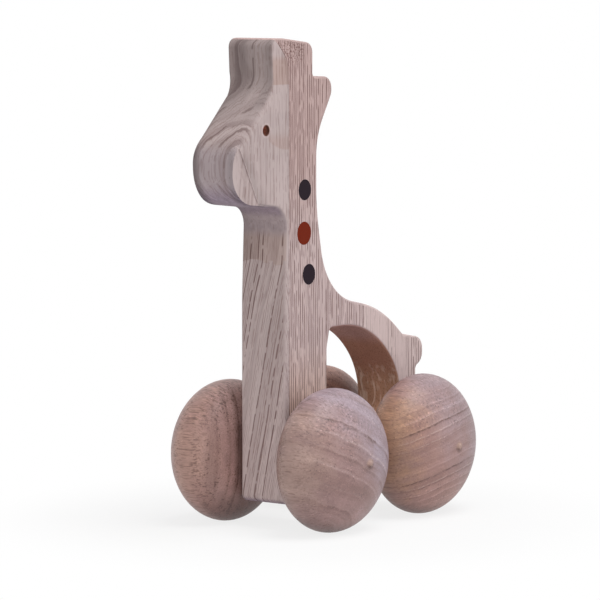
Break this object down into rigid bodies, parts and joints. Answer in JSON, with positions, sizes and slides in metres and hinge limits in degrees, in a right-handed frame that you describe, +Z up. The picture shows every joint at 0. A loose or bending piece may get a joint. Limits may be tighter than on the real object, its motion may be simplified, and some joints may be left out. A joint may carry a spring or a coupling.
{
  "type": "wooden giraffe push toy",
  "caption": "Giraffe-shaped wooden push-along toy: a sawn board with an arched belly, inlaid round spots and a drilled eye, rolling on domed wheels glued to wooden axles.",
  "frame": {"origin": "on the ground under the middle of the toy's length and width", "axes": "+X forward to the muzzle, +Y to the giraffe's left, +Z up"},
  "size_m": [0.1166, 0.079, 0.1702],
  "materials": {
    "board_wood": "bare sanded",
    "wheel_wood": "bare turned",
    "axle_wood": "bare dowel",
    "dark_dowel": "matt dark",
    "red_dowel": "matt red"
  },
  "bodies": {
    "board": {"body": "board_wood", "upper_spot": "dark_dowel", "middle_spot": "red_dowel", "lower_spot": "dark_dowel"},
    "front_wheel_set": {"front_axle": "axle_wood", "front_left_wheel": "wheel_wood", "front_right_wheel": "wheel_wood"},
    "rear_wheel_set": {"rear_axle": "axle_wood", "rear_left_wheel": "wheel_wood", "rear_right_wheel": "wheel_wood"}
  },
  "joints": [
    {"name": "front_roll", "type": "hinge", "parent": "board", "child": "front_wheel_set", "pos_m": [0.0209, 0, 0.025], "axis": [0, 1, 0], "continuous": true},
    {"name": "rear_roll", "type": "hinge", "parent": "board", "child": "rear_wheel_set", "pos_m": [-0.0333, 0, 0.025], "axis": [0, 1, 0], "continuous": true}
  ]
}
